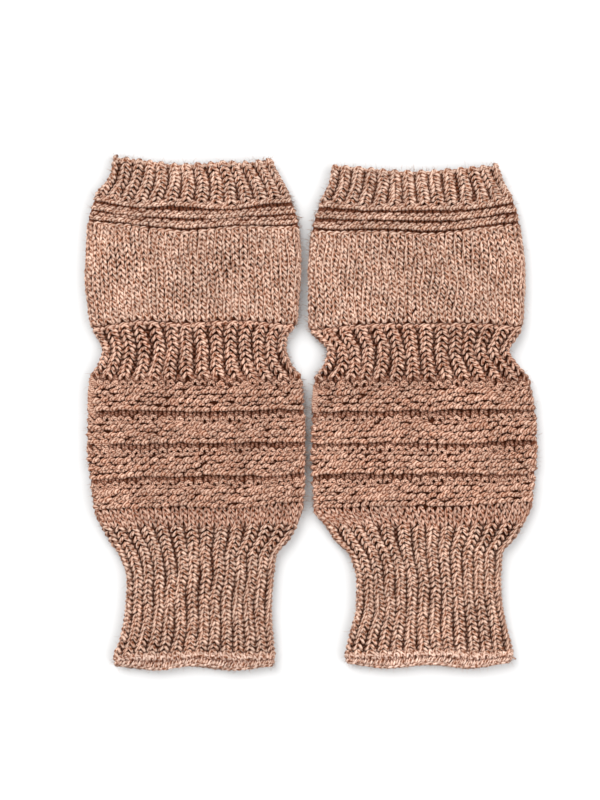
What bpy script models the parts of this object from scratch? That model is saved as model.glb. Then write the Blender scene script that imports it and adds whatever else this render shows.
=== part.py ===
"""A pair of knitted hand warmers lying flat, side by side. Metres, +Z up, +Y towards the top ribs.

Each hand warmer is one open-ended tube without a thumb, pressed flat: a front layer rests on a back
layer, and they meet at the two side folds. Down its length the tube changes stitch eight times, and
every stretch is its own pair of walls. The origin is under the middle of the pair, on the table.
"""

from collections import namedtuple

import bmesh
import bpy

MM = 0.001

# Driving dimensions, in millimetres.
WALL_GAP = 0.3  # between the two layers, and between one stretch of knitting and the next
BACK_WALL = 2.9  # the back layer, from the table up
FRONT_FLOOR = BACK_WALL + WALL_GAP  # the underside of the front layer
FOLD_RADIUS = 3.4  # how far in from a side fold the layer reaches its full height
STITCHES_ACROSS = 27  # stitches that show on one side of the tube, 54 all round
RIB_FURROW = 0.66  # a purl furrow of the one-by-one rib, as a share of the wale beside it
PLAIN_COLUMNS = 11  # columns across a stretch that has no ribs
BACK_EDGE_PEEK = 1.2  # how far the back layer's lower edge shows below the front layer's
BACK_STEPS = 2  # steps down a back wall for each section of the outline that it crosses, and two more

# The outline: one row for each place down the tube where its width or its course changes.
# y is the height of the stitch row at mid width, y_left and y_right are its heights at the folds,
# and left and right are the places of the two folds.
Section = namedtuple("Section", "name y y_left y_right left right")
LEFT_SECTIONS = (
    Section("top edge", 115.6, 120.0, 118.2, -92.0, -18.6),
    Section("top rib", 107.6, 109.5, 108.0, -94.4, -13.4),
    Section("top rib end", 97.4, 101.8, 100.0, -100.8, -9.6),
    Section("garter end", 84.9, 89.0, 87.2, -104.4, -5.2),
    Section("plain", 63.9, 64.9, 64.9, -105.6, -4.7),
    Section("plain end", 43.0, 40.2, 41.6, -103.0, -6.4),
    Section("waist", 29.1, 29.1, 29.4, -97.4, -11.6),
    Section("waist end", 15.1, 15.6, 15.6, -103.6, -4.0),
    Section("welts", -14.6, -15.6, -13.3, -105.0, -2.1),
    Section("welts end", -44.9, -46.3, -42.6, -101.2, -3.2),
    Section("taper end", -53.2, -53.6, -51.8, -97.8, -7.2),
    Section("wrist slope", -59.3, -60.0, -58.6, -94.2, -10.4),
    Section("wrist", -66.6, -67.2, -66.2, -89.2, -16.0),
    Section("cuff narrow", -77.9, -78.2, -77.9, -86.0, -17.5),
    Section("cuff middle", -89.5, -89.8, -89.5, -86.6, -18.4),
    Section("cuff flare", -103.5, -103.8, -103.5, -89.0, -17.7),
    Section("cuff end", -113.0, -114.4, -113.4, -92.3, -16.8),
    Section("lower edge", -118.8, -118.6, -118.8, -92.0, -17.3),
)
RIGHT_SECTIONS = (
    Section("top edge", 112.3, 115.0, 115.8, 9.5, 86.7),
    Section("top rib", 104.9, 106.4, 107.0, 8.0, 89.2),
    Section("top rib end", 95.6, 97.6, 99.6, 4.6, 93.6),
    Section("garter end", 83.0, 84.4, 87.6, -0.6, 97.6),
    Section("plain", 63.0, 63.4, 64.4, -1.9, 99.7),
    Section("plain end", 42.1, 38.8, 40.2, -1.0, 98.0),
    Section("waist", 29.1, 28.8, 28.8, 7.0, 92.4),
    Section("waist end", 15.1, 15.0, 15.4, 2.0, 101.2),
    Section("welts", -14.2, -15.2, -13.0, -0.2, 105.6),
    Section("welts end", -43.9, -44.6, -42.4, 0.6, 102.4),
    Section("taper end", -52.4, -52.8, -51.4, 6.7, 98.2),
    Section("wrist slope", -58.6, -59.2, -58.2, 10.6, 94.4),
    Section("wrist", -66.4, -66.8, -66.0, 17.8, 89.0),
    Section("cuff narrow", -77.9, -78.2, -77.6, 20.7, 88.4),
    Section("cuff middle", -89.5, -89.8, -89.4, 20.7, 89.0),
    Section("cuff flare", -103.0, -103.2, -102.8, 17.4, 91.8),
    Section("cuff end", -112.4, -113.6, -112.2, 15.3, 94.0),
    Section("lower edge", -118.4, -117.2, -116.8, 16.0, 93.0),
)

# The height of the front wall down each stretch: (share of the way down, thickness in millimetres).
CUFF_HEIGHTS = (
    (0.0, 3.0), (0.09, 3.2), (0.16, 3.3), (0.24, 3.4), (0.34, 3.5),
    (0.5, 3.6), (0.68, 3.6), (0.86, 3.5), (1.0, 3.0),
)
TOP_RIB_HEIGHTS = ((0.0, 3.2), (0.5, 3.6), (1.0, 3.2))
WAIST_HEIGHTS = (
    (0.0, 2.6), (0.15, 3.2), (0.33, 3.5), (0.5, 3.6), (0.67, 3.6), (0.85, 3.6), (1.0, 3.2),
)
GARTER_HEIGHTS = (
    (0.0, 3.0), (0.12, 3.2), (0.24, 2.3), (0.38, 3.4), (0.48, 3.4),
    (0.59, 2.3), (0.72, 3.4), (0.83, 3.4), (0.95, 2.3), (1.0, 2.4),
)
PLAIN_HEIGHTS = ((0.0, 2.9), (0.35, 3.1), (0.7, 3.2), (0.9, 3.5), (0.97, 3.3), (1.0, 2.8))
TAPER_HEIGHTS = ((0.0, 2.8), (0.5, 3.0), (1.0, 3.0))
EDGE_HEIGHTS = ((0.0, 2.8), (0.55, 3.3), (1.0, 2.4))
WELTS = 4  # purl welts between the waist and the taper
WELT_PROFILE = ((0.0, 2.7), (0.18, 3.9), (0.5, 4.5), (0.82, 3.9))  # one welt, valley to valley

WELT_HEIGHTS = tuple(
    ((welt + share) / WELTS, height) for welt in range(WELTS) for share, height in WELT_PROFILE
) + ((1.0, WELT_PROFILE[0][1]),)

# Each stretch of knitting, from the section where it starts to the one where it ends.
Stretch = namedtuple("Stretch", "name first last heights ribbed colour roughness")
STRETCHES = (
    Stretch("top_rib", "top edge", "top rib end", TOP_RIB_HEIGHTS, True, (0.42, 0.25, 0.18), 0.88),
    Stretch("garter_ridges", "top rib end", "garter end", GARTER_HEIGHTS, False, (0.41, 0.24, 0.17), 0.9),
    Stretch("plain_band", "garter end", "plain end", PLAIN_HEIGHTS, False, (0.49, 0.29, 0.21), 0.86),
    Stretch("waist_rib", "plain end", "waist end", WAIST_HEIGHTS, True, (0.37, 0.21, 0.16), 0.9),
    Stretch("welted_band", "waist end", "welts end", WELT_HEIGHTS, False, (0.39, 0.22, 0.16), 0.92),
    Stretch("taper", "welts end", "taper end", TAPER_HEIGHTS, False, (0.43, 0.25, 0.18), 0.88),
    Stretch("cuff_rib", "taper end", "cuff end", CUFF_HEIGHTS, True, (0.40, 0.24, 0.175), 0.88),
    Stretch("bound_edge", "cuff end", "lower edge", EDGE_HEIGHTS, False, (0.45, 0.28, 0.21), 0.86),
)


def clear_scene():
    for obj in list(bpy.data.objects):
        bpy.data.objects.remove(obj, do_unlink=True)


def eased_slopes(heights, values):
    """Slopes at the sections that never carry the outline past a section's own value."""
    steps = [b - a for a, b in zip(heights, heights[1:])]
    rises = [(b - a) / step for a, b, step in zip(values, values[1:], steps)]
    slopes = [rises[0]]
    for before, after in zip(rises, rises[1:]):
        slopes.append(0.0 if before * after <= 0 else 2 * before * after / (before + after))
    return slopes + [rises[-1]]


def outline_at(sections, column, y):
    """One column of the outline at mid-width height y, eased between the sections."""
    ordered = sections[::-1]
    heights = [section.y for section in ordered]
    values = [getattr(section, column) for section in ordered]
    slopes = eased_slopes(heights, values)
    i = max(k for k in range(len(heights) - 1) if k == 0 or y >= heights[k])
    step = heights[i + 1] - heights[i]
    t = min(max((y - heights[i]) / step, 0.0), 1.0)
    return (
        values[i] * (1 + 2 * t) * (1 - t) ** 2
        + slopes[i] * step * t * (1 - t) ** 2
        + values[i + 1] * t * t * (3 - 2 * t)
        - slopes[i + 1] * step * t * t * (1 - t)
    )


def columns_of(ribbed):
    """The columns across a wall, as (place from -1 at the left fold to 1 at the right, height share)."""
    pitch = 2 / STITCHES_ACROSS
    if ribbed:
        columns = [
            (-1 + pitch * (stitch + 0.5), RIB_FURROW if stitch % 2 else 1.0)
            for stitch in range(STITCHES_ACROSS)
        ]
    else:
        reach = 1 - 1.5 * pitch
        columns = [
            (-reach + 2 * reach * k / (PLAIN_COLUMNS - 1), 1.0) for k in range(PLAIN_COLUMNS)
        ]
        columns = [(-1 + 0.6 * pitch, 1.0)] + columns + [(1 - 0.6 * pitch, 1.0)]
    near_fold = 0.18 * pitch
    return [(-1.0, 1.0), (-1 + near_fold, 1.0)] + columns + [(1 - near_fold, 1.0), (1.0, 1.0)]


def fold_rise(distance):
    """How much of its full height a wall has at this distance in from a side fold."""
    left = 1 - min(distance, FOLD_RADIUS) / FOLD_RADIUS
    return max(1 - left * left, 0.0) ** 0.5


def row_of_points(sections, y, columns, base_z, height):
    """The outer and the inner points of one row across a wall."""
    left, right = outline_at(sections, "left", y), outline_at(sections, "right", y)
    left_drop = outline_at(sections, "y_left", y) - y
    right_drop = outline_at(sections, "y_right", y) - y
    half = (right - left) / 2
    outer, inner = [], []
    for place, share in columns:
        x = (left + right) / 2 + place * half
        bow = place * place * ((left_drop + right_drop) + place * (right_drop - left_drop)) / 2
        rise = fold_rise((1 - abs(place)) * half)
        outer.append((x, y + bow, base_z + height * share * rise))
        inner.append((x, y + bow, base_z))
    return outer, inner


def wall(name, rows):
    """A closed wall through rows of (outer, inner) points, whose ends meet at the two folds."""
    mesh = bmesh.new()
    rings = []
    for outer, inner in rows:
        over = [mesh.verts.new([value * MM for value in point]) for point in outer]
        under = [mesh.verts.new([value * MM for value in point]) for point in inner[1:-1]]
        rings.append((over, [over[0]] + under + [over[-1]]))
    for (over_a, under_a), (over_b, under_b) in zip(rings, rings[1:]):
        for k in range(len(over_a) - 1):
            mesh.faces.new((over_a[k], over_b[k], over_b[k + 1], over_a[k + 1]))
            mesh.faces.new((under_a[k], under_a[k + 1], under_b[k + 1], under_b[k]))
    for over, under in (rings[0], rings[-1]):
        for k in range(len(over) - 1):
            corners = (over[k], over[k + 1], under[k + 1], under[k])
            mesh.faces.new(list(dict.fromkeys(corners)))
    bmesh.ops.recalc_face_normals(mesh, faces=mesh.faces)
    data = bpy.data.meshes.new(name)
    mesh.to_mesh(data)
    mesh.free()
    obj = bpy.data.objects.new(name, data)
    bpy.context.scene.collection.objects.link(obj)
    return obj


def knit_material(name, colour, roughness):
    material = bpy.data.materials.new(name)
    material.use_nodes = True
    shader = material.node_tree.nodes["Principled BSDF"]
    shader.inputs["Base Color"].default_value = (*colour, 1.0)
    shader.inputs["Roughness"].default_value = roughness
    shader.inputs["Metallic"].default_value = 0.0
    return material


def stretch_ends(sections, stretch):
    """Mid-width heights where the stretch starts and ends, leaving half the gap at an inner end."""
    named = {section.name: section.y for section in sections}
    start, end = named[stretch.first], named[stretch.last]
    if stretch is not STRETCHES[0]:
        start -= WALL_GAP / 2
    if stretch is not STRETCHES[-1]:
        end += WALL_GAP / 2
    return start, end


def front_wall(side, sections, stretch):
    start, end = stretch_ends(sections, stretch)
    columns = columns_of(stretch.ribbed)
    rows = [
        row_of_points(sections, start + (end - start) * share, columns, FRONT_FLOOR, height)
        for share, height in stretch.heights
    ]
    return wall(f"{side}_{stretch.name}_front", rows)


def lowered(points, columns):
    """Points of the lower edge, dropped most at mid width, so that they show below the front layer."""
    return [
        (x, y - BACK_EDGE_PEEK * (1 - place * place), z)
        for (x, y, z), (place, _) in zip(points, columns)
    ]


def back_wall(side, sections, stretch):
    """The layer on the table: its inner face is level, and its underside is flat between the folds."""
    start, end = stretch_ends(sections, stretch)
    columns = columns_of(False)
    crossed = sum(1 for section in sections if end < section.y < start)
    steps = BACK_STEPS * (crossed + 1)
    rows = []
    for step in range(steps + 1):
        y = start + (end - start) * step / steps
        rows.append(row_of_points(sections, y, columns, BACK_WALL, -BACK_WALL))
    if stretch is STRETCHES[-1]:
        rows[-1] = tuple(lowered(points, columns) for points in rows[-1])
    return wall(f"{side}_{stretch.name}_back", rows)


def build_hand_warmer(side, sections):
    for stretch in STRETCHES:
        for make_wall in (front_wall, back_wall):
            piece = make_wall(side, sections, stretch)
            material = knit_material(piece.name, stretch.colour, stretch.roughness)
            piece.data.materials.append(material)
            piece.data.shade_smooth()
            piece.data.set_sharp_from_angle(angle=0.9)


clear_scene()
build_hand_warmer("left", LEFT_SECTIONS)
build_hand_warmer("right", RIGHT_SECTIONS)
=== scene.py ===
# The looks of a pair of knitted hand warmers that lie flat, side by side. Every stitch that shows is
# its own length of yarn, bent as the real loop is, and laid on a tube that follows the frame's walls.
# Blender's units are metres. Lengths below are millimetres and are turned to metres where a mesh is made.

import math
from collections import namedtuple

import bmesh
import bpy
import numpy as np
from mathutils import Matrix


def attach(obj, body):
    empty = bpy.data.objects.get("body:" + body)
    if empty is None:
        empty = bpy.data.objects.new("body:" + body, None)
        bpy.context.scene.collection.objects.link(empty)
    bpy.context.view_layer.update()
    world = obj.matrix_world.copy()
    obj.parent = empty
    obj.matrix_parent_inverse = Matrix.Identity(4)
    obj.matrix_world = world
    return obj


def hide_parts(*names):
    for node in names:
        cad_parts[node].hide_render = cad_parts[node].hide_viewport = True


MM = 0.001

# The two layers and the count of stitches are the part's. The other sizes belong to the looks.
WALL_GAP = 0.3  # between the two layers of a tube
BACK_WALL = 2.9  # thickness of the layer on the table
LAYER_MIDDLE = BACK_WALL + WALL_GAP / 2  # height between the two layers
ACROSS = 27  # stitches that show on one side of a tube
ROUND = 2 * ACROSS  # stitches all round

# How the cloth of a tube lies.
INSET = 0.95  # from a tube's side to the middle of the yarn there
FOLD = 2.3  # how far in from a side fold the cloth turns
FOLD_LIFT = 1.3  # how far above the middle between the layers a fold is widest
CROWDING = 0.05  # how much closer the stitches lie near the folds
RIB_EASE = 2.5  # over how many millimetres a rib's wales spread to the next stretch's stitches
BACK_LEVEL = 1.5  # height of the middle of the yarn in the back layer, where it is lowest
BACK_LOWEST_AT = 5.6  # it is lowest where the front layer's yarn is at least this high
BACK_RELIEF = 0.35  # elsewhere it rises by this share of what the front's lacks
BACK_RELIEF_MOST = 1.2  # which counts up to this much
EDGE_WAVE = 0.9  # how far the lower edge waves up and down across the width
EDGE_WAVE_MOST = 1.2  # how much the wave grows past the lower edge
BACK_TOP_DROP = 1.6  # how far the back layer's top edge lies below the front layer's
TOP_DROP_REACH = 8.0  # over how many millimetres it falls behind
TOP_DROP_POWER = 6  # how suddenly the drop ends at the folds
BUMP_LEAN = 0.07  # how much the purl bumps of the welts lean, in rows a stitch

# Slow waves over a tube: how many times one goes round it at most, its length up it, and its size.
Waves = namedtuple("Waves", "turns length size")
ROW_WAVES = Waves(6, 40.0, 0.42)  # how far the rows stray up and down
WALE_WAVES = Waves(8, 34.0, 0.12)  # how far the stitches stray sideways, in stitches
SWELL_WAVES = Waves(8, 30.0, 0.10)  # how far the front swells and sinks
LEAN_WAVES = Waves(9, 18.0, 0.09)  # how the lean of the purl bumps changes
WAVE_COUNT = 7  # waves that are added up
WAVE_RANGE = (0.6, 1.4)  # how much more seldom or often than its length says one comes

# The yarn.
YARN = 0.9  # radius of the yarn
PLIES = 5  # strands twisted into the yarn
NUDGE = (0.028, 0.045)  # how far a length of yarn strays across, in stitches, and up, in rows
UNEVEN = (0.09, 0.09, 0.05)  # how its tilt, its lift and its radius vary
FRONT_SIDES = 6  # sides of a length of yarn, where it is seen
BACK_SIDES = 4
BACK_RINGS = [0, 1, 3, 4]  # the bends of a stitch that are kept on the back layer
# The yarn is painted darker, as shade, the lower it lies in the cloth and towards the sides of each length.
DEPTH_TOP = 1.0  # above this height over the cloth the yarn has its full colour
DEPTH_RANGE = 2.2  # over this depth it darkens to the painted shade between the stitches
SIDE_DROP = 1.2  # how much faster than its round the sides of a length of yarn take painted shade

# The map along the yarn: each length starts in one of its steps, a little past the step's beginning.
YARN_STEP = 40.0
YARN_STEPS = 400
YARN_SHIFT = 8.0

# The other map has a cell for each length of yarn: its side from near the corner, and beside that
# its two ends as rounds, the far one above the near one. All are shares of the cell, x before y.
CELL_CORNER = 0.04
CELL_SIDE = (0.74, 0.92)
CELL_END = (0.90, 0.3)
CELL_END_SIZE = (0.07, 0.12)
CELL_END_STEP = 0.4

# The ground behind the stitches.
GROUND_OUTER = -0.95  # its two faces, from the middle of the yarn
GROUND_INNER = -1.6
GROUND_FURROW = 0.5  # how much deeper it lies in the furrows of a rib
GROUND_SHORT = 1.6  # how far it ends inside the two ends of the tube
GROUND_RINGS = 96
FURROW_ONSET = 8  # how soon a rib's furrows reach their full depth
FLAT_STEPS = 200  # places down the tube where its width is measured

# The two outlines: a row for each place down the tubes where their width or their course changes.
# It has five numbers for the left hand warmer and then five for the right one: the height of the
# stitch row at mid width, its heights at the left and the right fold, and the places of these two
# folds, which are within 3 mm of where the frame's walls end.
OUTLINES = (
    ("top edge", (115.6, 120.0, 118.2, -92.0, -18.6), (112.3, 115.0, 115.8, 9.5, 86.7)),
    ("top rib", (107.6, 109.5, 108.0, -94.4, -13.4), (104.9, 106.4, 107.0, 8.0, 89.8)),
    ("top rib end", (97.4, 100.8, 99.6, -101.2, -9.2), (95.6, 97.6, 99.6, 3.6, 94.0)),
    ("garter end", (84.9, 89.0, 87.2, -104.4, -5.2), (83.0, 84.4, 87.6, -0.6, 97.6)),
    ("plain", (63.9, 64.9, 64.9, -105.6, -4.7), (63.0, 63.4, 64.4, -1.9, 99.7)),
    ("plain end", (43.0, 40.2, 41.6, -103.0, -6.4), (42.1, 38.8, 40.2, -1.5, 98.4)),
    ("waist above", (36.0, 34.8, 35.4, -99.8, -10.9), (36.0, 34.4, 35.0, 2.4, 95.9)),
    ("waist", (29.1, 29.1, 29.4, -97.4, -11.6), (29.1, 28.8, 28.8, 7.0, 92.4)),
    ("waist below", (22.3, 22.5, 22.6, -99.4, -9.5), (22.3, 22.0, 22.3, 5.4, 96.0)),
    ("waist end", (15.1, 15.6, 15.6, -103.6, -4.0), (15.1, 15.0, 15.4, 0.9, 101.6)),
    ("welts", (-14.6, -15.6, -13.3, -105.0, -2.1), (-14.2, -15.2, -13.0, -0.9, 105.6)),
    ("welts end", (-44.9, -46.3, -42.6, -101.2, -3.2), (-43.9, -44.6, -42.4, 0.3, 103.0)),
    ("taper end", (-53.2, -53.6, -51.8, -97.8, -6.2), (-52.4, -52.8, -51.4, 6.4, 99.0)),
    ("wrist slope", (-59.3, -60.0, -58.6, -94.2, -9.7), (-58.6, -59.2, -58.2, 10.6, 95.0)),
    ("wrist", (-66.6, -67.2, -66.2, -89.2, -16.0), (-66.4, -66.8, -66.0, 17.8, 89.0)),
    ("cuff narrow", (-77.9, -78.2, -77.9, -86.0, -17.5), (-77.9, -78.2, -77.6, 20.7, 88.4)),
    ("cuff middle", (-89.5, -89.8, -89.5, -86.6, -18.4), (-89.5, -89.8, -89.4, 20.7, 89.0)),
    ("cuff flare", (-103.5, -103.8, -103.5, -89.0, -17.7), (-103.0, -103.2, -102.8, 17.4, 91.8)),
    ("cuff end", (-113.0, -114.4, -113.4, -92.3, -16.8), (-112.4, -113.6, -112.2, 15.3, 94.0)),
    ("lower edge", (-118.8, -118.6, -118.8, -92.0, -17.3), (-118.4, -117.2, -116.8, 16.0, 93.0)),
)
Section = namedtuple("Section", "name y y_left y_right left right")
LEFT_SECTIONS = tuple(Section(name, *sizes) for name, sizes, _ in OUTLINES)
RIGHT_SECTIONS = tuple(Section(name, *sizes) for name, _, sizes in OUTLINES)

# Down each stretch: (share of the way down, height of the middle of the front layer's yarn).
WELTS = 4
WELT_LEVELS = (
    (0.0, 4.6), (0.06, 4.7), (0.2, 5.4), (0.42, 5.8), (0.66, 5.95), (0.86, 5.7), (0.96, 4.9),
)
LEVELS = {
    "top_rib": ((0.0, 5.0), (0.5, 5.4), (0.9, 5.2)),
    "garter_ridges": (
        (0.0, 5.3), (0.1, 5.4), (0.17, 5.1), (0.215, 4.5), (0.26, 5.1), (0.4, 5.6), (0.51, 5.1),
        (0.56, 4.5), (0.61, 5.2), (0.74, 5.8), (0.86, 5.3), (0.915, 4.2), (0.98, 4.6),
    ),
    "plain_band": ((0.03, 4.9), (0.35, 5.0), (0.7, 5.1), (0.92, 5.6), (0.985, 5.5)),
    "waist_rib": ((0.005, 4.2), (0.04, 4.9), (0.12, 5.1), (0.4, 5.4), (0.96, 5.2)),
    "welted_band": tuple(
        ((welt + share) / WELTS, level) for welt in range(WELTS) for share, level in WELT_LEVELS
    ),
    "taper": ((0.03, 4.5), (0.4, 4.9), (1.0, 5.1)),
    "cuff_rib": ((0.05, 5.1), (0.16, 5.2), (0.5, 5.4), (0.95, 5.3)),
    "bound_edge": ((0.1, 5.0), (0.6, 5.2), (1.0, 4.7)),
}

# Each stretch of knitting: where it starts and ends, the share of each pair of stitches that the
# knit wale takes from the purl furrow (0.5 where there is no rib), and its material slot.
Stretch = namedtuple("Stretch", "name first last wale slot")
STRETCHES = (
    Stretch("top_rib", "top edge", "top rib end", 0.79, "rib_knit"),
    Stretch("garter_ridges", "top rib end", "garter end", 0.5, "garter_knit"),
    Stretch("plain_band", "garter end", "plain end", 0.5, "plain_knit"),
    Stretch("waist_rib", "plain end", "waist end", 0.80, "rib_knit"),
    Stretch("welted_band", "waist end", "welts end", 0.5, "welt_knit"),
    Stretch("taper", "welts end", "taper end", 0.5, "plain_knit"),
    Stretch("cuff_rib", "taper end", "cuff end", 0.80, "rib_knit"),
    Stretch("bound_edge", "cuff end", "lower edge", 0.5, "edge_knit"),
)

# How a length of yarn lies in its stitch, at five places along it: across and up in stitches and rows
# from the stitch's middle, its lift off the cloth, and its size as a share of the yarn's.
Bends = namedtuple("Bends", "across up lift size", defaults=((0.80, 0.97, 1.00, 0.97, 0.80),))
PLAIN_LEG = Bends(
    (-0.46, -0.38, -0.27, -0.15, -0.07),
    (-0.78, -0.38, 0.02, 0.42, 0.80),
    (-0.85, 0.02, 0.30, 0.05, -0.85),
)
RIB_LEG = Bends(
    (-0.52, -0.43, -0.29, -0.14, -0.02),
    (-0.79, -0.42, -0.01, 0.39, 0.75),
    (-1.35, -0.15, 0.38, 0.23, -0.80),
)
FURROW_BUMP = Bends(
    (-0.80, -0.42, 0.00, 0.42, 0.80),
    (0.16, 0.02, -0.06, 0.02, 0.16),
    (-1.75, -1.40, -1.25, -1.40, -1.75),
    (0.80, 0.95, 1.00, 0.95, 0.80),
)
PURL_HEAD = Bends(
    (-0.46, -0.26, 0.00, 0.26, 0.46),
    (0.20, 0.29, 0.34, 0.31, 0.24),
    (-1.10, -0.45, -0.20, -0.45, -1.10),
)
WELT_HEAD = Bends(
    (-0.47, -0.28, 0.00, 0.28, 0.47),
    (0.22, 0.37, 0.45, 0.39, 0.26),
    (-1.10, -0.40, -0.05, -0.40, -1.10),
    (0.80, 0.97, 1.02, 0.97, 0.80),
)
PURL_BUMP = Bends(
    (-0.44, -0.29, 0.00, 0.29, 0.44),
    (-0.27, -0.16, -0.07, -0.16, -0.27),
    (-1.55, -0.24, 0.08, -0.24, -1.55),
    (0.64, 0.95, 1.06, 0.95, 0.64),
)
OPEN_ARCH = Bends(
    (-0.36, -0.29, 0.02, 0.31, 0.38),
    (-0.46, 0.06, 0.30, 0.06, -0.46),
    (-0.80, 0.05, 0.35, 0.05, -0.80),
)
SUNK_LEG = Bends(
    (-0.36, -0.32, -0.26, -0.18, -0.14),
    (-0.70, -0.35, 0.00, 0.35, 0.70),
    (-1.05, -0.80, -0.72, -0.80, -1.05),
    (0.85, 0.97, 1.00, 0.97, 0.85),
)
CHAIN_UPPER = Bends(
    (-0.62, -0.34, 0.00, 0.30, 0.52),
    (0.72, 0.56, 0.42, 0.26, 0.10),
    (-0.95, 0.10, 0.40, 0.20, -0.90),
)
CHAIN_LOWER = Bends(
    (-0.42, -0.30, -0.06, 0.16, 0.34),
    (-0.86, -0.70, -0.50, -0.30, -0.12),
    (-1.50, -0.30, 0.35, 0.25, -0.90),
    (0.80, 0.97, 1.05, 0.97, 0.80),
)
EDGE_LOOP = Bends(
    (-0.56, -0.30, 0.00, 0.30, 0.56),
    (-0.16, 0.03, 0.10, 0.03, -0.16),
    (-0.90, -0.20, 0.00, -0.20, -0.90),
)
SEAM_STITCH = Bends(
    (-0.50, -0.22, 0.10, 0.40, 0.66),
    (0.62, 0.40, 0.05, -0.32, -0.62),
    (-0.70, 0.35, 0.62, 0.40, -0.60),
)

# One length of yarn of a stitch: its bends, 1 or -1 to turn it across and up, how far it is moved
# across, its radius as a share of the yarn's, and how much less painted shade it takes than its depth
# gives.
Strand = namedtuple("Strand", "bends flip turn shift radius open", defaults=(1, 1, 0.0, 1.0, 0.0))


def legs(bends, **settings):
    """The two legs of a stitch, the second one the mirror of the first."""
    return tuple(Strand(bends, flip, **settings) for flip in (1, -1))


# The lengths of yarn that show of one stitch of each kind.
STRANDS = {
    "knit": legs(PLAIN_LEG, radius=0.9),
    "wale": legs(RIB_LEG, radius=0.95),
    "furrow": (Strand(FURROW_BUMP, radius=0.9),),
    "purl": (Strand(WELT_HEAD, shift=0.5, radius=0.95), Strand(PURL_BUMP, radius=1.38)),
    "ridge": (Strand(PURL_HEAD, shift=0.5, radius=0.97), Strand(PURL_BUMP, radius=1.34)),
    "cap": (Strand(PURL_BUMP, radius=1.3),),
    "open arch": (Strand(OPEN_ARCH, radius=0.98),),
    "filled arch": (Strand(OPEN_ARCH, radius=0.98), Strand(PURL_HEAD, turn=-1, radius=0.85)),
    # The sunk and groove rows take more painted shade than their depth gives; chains, lips and edges take
    # less.
    "sunk": legs(SUNK_LEG, radius=1.04, open=-0.25),
    "groove": legs(SUNK_LEG, radius=0.9, open=-0.8),
    "chain": (
        Strand(CHAIN_UPPER, radius=0.85, open=0.3),
        Strand(CHAIN_LOWER, radius=0.76, open=0.6),
        Strand(CHAIN_LOWER, shift=0.5, radius=0.76, open=0.6),
    ),
    "seam": (Strand(SEAM_STITCH, radius=0.8),),
    "lip": (Strand(EDGE_LOOP, open=1.0),),
    "edge": (Strand(EDGE_LOOP, open=0.8),),
}
ARCH_BEATS = (2.1, 0.67)  # two beats along a row of arches
ARCH_FILLED = -0.3  # an arch is filled where they add up to more than this

# The rows. A pitch is the height that a row's stitches take, in a rib a share of its rows' step.
EVEN_ROWS = {"top_rib": 9, "plain_band": 17, "waist_rib": 10, "taper": 3, "cuff_rib": 27}
ROOM_ABOVE = {"waist_rib": 1.8, "plain_band": 0.3}  # millimetres left bare above a stretch's rows
LEG_REACH = {"top_rib": 0.86, "waist_rib": 0.88, "cuff_rib": 0.82}
FURROWS = range(1, ROUND, 2)  # the columns of a rib that are purled
LOOSENESS = {"purl": 1.7, "ridge": 0.9, "arch": 2.2, "sunk": 1.5}  # how uneven each kind of row is
GARTER_PITCH = 3.7
WELT_PITCH = 3.5
SUNK_PITCH = 2.6
CAP_PITCH = 2.6
CHAIN_PITCH = 4.2
EDGE_PITCH = 2.3

# Rows over the even ones: what is knitted, its height from the start of the stretch, and its pitch,
# which is the even rows' step where none is given.
ROWS_OVER = {
    "top_rib": (("edge", -1.0, None),),
    "plain_band": (("cap", 0.35, CAP_PITCH),),
    "waist_rib": (("groove", -0.3, SUNK_PITCH), ("cap", -1.3, CAP_PITCH)),
}

# The ridges' rows, and the rows of one welt: what is knitted, and its share of the way down.
GARTER_ROWS = (
    ("ridge", 0.065), ("groove", 0.23), ("ridge", 0.414),
    ("groove", 0.57), ("ridge", 0.741), ("groove", 0.90),
)
WELT_ROWS = (("sunk", 0.05), ("arch", 0.20), ("purl", 0.40), ("purl", 0.63), ("purl", 0.86))
FIRST_WELT_ROWS = (("sunk", 0.0), ("arch", 0.14), ("purl", 0.36), ("purl", 0.6), ("purl", 0.85))

# The bound-off edge: what is knitted, its height from the start of the stretch, and its pitch.
BOUND_ROWS = (("knit", -0.3, EDGE_PITCH), ("sunk", -1.8, SUNK_PITCH), ("chain", -1.7, CHAIN_PITCH))
LIP_HEIGHT = 0.7  # of the last row, over the lower edge

# The side seam shows at the left fold, in a few columns of the welts, from one height to another.
Seam = namedtuple("Seam", "side first last step columns")
SEAMS = (
    Seam("left", 14.6, -3.2, 1.5, (0,)),
    Seam("left", -13.0, -19.0, 2.2, (1, 2)),
    Seam("right", 11.2, 0.8, 1.5, (0,)),
)

# Loose fibres.
FIBRE = 0.06  # radius of a loose fibre
FIBRE_SIDES = 3
FIBRE_TAPER = (1.0, 0.9, 0.7, 0.35)  # its radius along it, as shares
FIBRE_SIZES = (0.7, 1.3)  # the thinnest and the thickest, as shares
FIBRE_LENGTHS = (0.55, 0.4)  # mean and spread of the logarithm of its length
FIBRE_LONGEST = 4.0
FIBRE_START = 0.45  # how far over the middle of the yarn it starts
FIBRE_STAND = (0.15, 0.8)  # the least and the most that it stands off the cloth
FIBRE_STRAY = 0.6  # how far its course strays to any side
FIBRE_BEND = 0.35  # how much it bends for its length
FIBRE_LOWEST = 0.1  # its lowest height over the table

# The loose end of the yarn, at the right fold of the right hand warmer.
LOOSE_END = (
    (88.8, -112.6, 4.4), (90.6, -113.2, 4.6), (92.3, -113.7, 4.3), (93.9, -114.1, 3.6), (95.2, -114.9, 2.9),
)
LOOSE_END_TAPER = (0.85, 0.8, 0.72, 0.62, 0.4)  # its radius, as shares of the yarn's
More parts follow.
